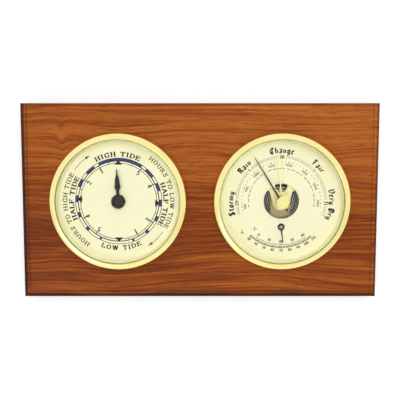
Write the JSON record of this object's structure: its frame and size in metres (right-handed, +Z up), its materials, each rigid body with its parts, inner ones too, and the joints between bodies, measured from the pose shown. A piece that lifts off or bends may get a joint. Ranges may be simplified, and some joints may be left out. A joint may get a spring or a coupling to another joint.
{
  "type": "tide clock and barometer plaque",
  "caption": "Oak wall plaque with a round brass tide clock beside a round brass aneroid barometer with a small thermometer on its dial.",
  "frame": {"origin": "centre of the board's back face, which lies on the wall", "axes": "+X to the viewer's right along the board, +Y from the front into the wall, +Z up"},
  "size_m": [0.305, 0.037, 0.167],
  "materials": {
    "oak": "stained and satin varnished",
    "brass": "polished and lacquered",
    "pale_gold_paint": "satin paint",
    "gold_plate": "gold passivated steel",
    "clear_glass": "clear",
    "ivory_dial": "satin ivory paint",
    "black_paint": "satin black",
    "steel": "plain",
    "zinc": "yellow zinc plated",
    "rubber": "matt",
    "black_plastic": "fine texture",
    "white_plastic": "moulded",
    "copper": "enamelled winding",
    "green_laminate": "circuit laminate",
    "bronze": "dark pressed bronze",
    "cell_label": "plain label"
  },
  "bodies": {
    "plaque": {"oak_board": "oak", "hanger_plate": "zinc", "hanger_screws": "zinc", "tide_case": "black_paint", "tide_grip_ring": "rubber", "tide_dial": "ivory_dial", "tide_reflector_ring": "pale_gold_paint", "tide_lens": "clear_glass", "tide_bezel": "brass", "movement_base": "black_plastic", "movement_cover": "black_plastic", "dial_washer": "rubber", "centre_bushing": "brass", "bushing_nut": "brass", "circuit_board": "green_laminate", "quartz_crystal": "steel", "drive_coil": "copper", "stator": "steel", "battery_spring": "steel", "battery_contact": "steel", "barometer_case": "black_paint", "barometer_grip_ring": "rubber", "barometer_dial": "ivory_dial", "barometer_reflector_ring": "pale_gold_paint", "barometer_lens": "clear_glass", "barometer_bezel": "brass", "aneroid_base": "steel", "base_screws": "zinc", "aneroid_capsule": "bronze", "main_spring": "gold_plate", "bridge_pillars": "brass", "lower_bridge": "gold_plate", "bridge_spacers": "brass", "upper_bridge": "gold_plate", "bridge_screws": "zinc", "hairspring": "steel", "thermometer_bracket": "steel", "bimetal_coil": "gold_plate"},
    "tide_hand_body": {"tide_wheel": "white_plastic", "tide_hand": "black_paint", "hand_cap": "black_paint"},
    "transfer_body": {"transfer_wheel": "white_plastic"},
    "setting_body": {"centre_arbor": "steel", "setting_knob": "black_plastic"},
    "intermediate_body": {"intermediate_wheel": "white_plastic"},
    "rotor_body": {"rotor": "black_plastic"},
    "friction_wheel_body": {"centre_wheel": "white_plastic"},
    "battery_body": {"battery": "cell_label"},
    "pointer_body": {"pointer_arbor": "steel", "pressure_pointer": "black_paint"},
    "sector_body": {"sector_gear": "brass"},
    "rocker_body": {"rocking_shaft": "steel"},
    "link_body": {"capsule_link": "steel"},
    "set_hand_body": {"set_hand_knob": "brass", "set_hand": "brass", "set_hand_spring": "brass"},
    "thermometer_body": {"thermometer_arbor": "brass", "thermometer_pointer": "black_paint"},
    "adjuster_body": {"adjusting_screw": "brass"}
  },
  "joints": [
    {"name": "tide_hand_turn", "type": "hinge", "parent": "plaque", "child": "tide_hand_body", "pos_m": [-0.06975, -0.0232, 0], "axis": [0, 1, 0], "continuous": true},
    {"name": "transfer_wheel_turn", "type": "hinge", "parent": "plaque", "child": "transfer_body", "pos_m": [-0.07708, -0.0117, 0.00267], "axis": [0, 1, 0], "continuous": true},
    {"name": "setting_knob_turn", "type": "hinge", "parent": "plaque", "child": "setting_body", "pos_m": [-0.06975, -0.0117, 0], "axis": [0, 1, 0], "continuous": true},
    {"name": "intermediate_wheel_turn", "type": "hinge", "parent": "plaque", "child": "intermediate_body", "pos_m": [-0.06439, -0.0117, 0.0045], "axis": [0, 1, 0], "continuous": true},
    {"name": "rotor_turn", "type": "hinge", "parent": "plaque", "child": "rotor_body", "pos_m": [-0.05989, -0.0117, 0.00986], "axis": [0, 1, 0], "continuous": true},
    {"name": "friction_wheel_turn", "type": "hinge", "parent": "plaque", "child": "friction_wheel_body", "pos_m": [-0.06975, -0.007, 0], "axis": [0, 1, 0], "continuous": true},
    {"name": "battery_slide", "type": "slide", "parent": "plaque", "child": "battery_body", "axis": [0, 1, 0], "range_m": [0, 0.03]},
    {"name": "pressure_pointer_turn", "type": "hinge", "parent": "plaque", "child": "pointer_body", "pos_m": [0.06975, -0.0226, 0], "axis": [0, 1, 0], "range_deg": [-77, 141], "stiffness_Nm_per_rad": 0.002},
    {"name": "sector_turn", "type": "hinge", "parent": "plaque", "child": "sector_body", "pos_m": [0.06282, -0.0154, 0.011], "axis": [0, 1, 0], "range_deg": [-12.6, 7.2]},
    {"name": "rocking_shaft_turn", "type": "hinge", "parent": "plaque", "child": "rocker_body", "pos_m": [0.06975, -0.013, 0.011], "axis": [1, 0, 0], "range_deg": [-5.5, 9.4]},
    {"name": "capsule_link_slide", "type": "slide", "parent": "plaque", "child": "link_body", "axis": [0, 1, 0], "range_m": [-0.0003, 0.0005]},
    {"name": "set_hand_turn", "type": "hinge", "parent": "plaque", "child": "set_hand_body", "pos_m": [0.06975, -0.0288, 0], "axis": [0, 1, 0], "continuous": true},
    {"name": "thermometer_turn", "type": "hinge", "parent": "plaque", "child": "thermometer_body", "pos_m": [0.06975, -0.0206, -0.0221], "axis": [0, 1, 0], "range_deg": [-68, 82], "stiffness_Nm_per_rad": 0.001},
    {"name": "adjusting_screw_turn", "type": "hinge", "parent": "plaque", "child": "adjuster_body", "pos_m": [0.06975, -0.0028, 0], "axis": [0, 1, 0], "range_deg": [-180, 180]}
  ],
  "couplings": [
    {"joint": "transfer_wheel_turn", "follows": "tide_hand_turn", "ratio": -3.7273},
    {"joint": "setting_knob_turn", "follows": "tide_hand_turn", "ratio": 12.424},
    {"joint": "rotor_turn", "follows": "intermediate_wheel_turn", "ratio": -6},
    {"joint": "friction_wheel_turn", "follows": "intermediate_wheel_turn", "ratio": -0.16667},
    {"joint": "sector_turn", "follows": "pressure_pointer_turn", "ratio": -0.083333},
    {"joint": "rocking_shaft_turn", "follows": "pressure_pointer_turn", "ratio": 0.061728},
    {"joint": "capsule_link_slide", "follows": "pressure_pointer_turn", "m_per_rad": 0.00018519}
  ]
}
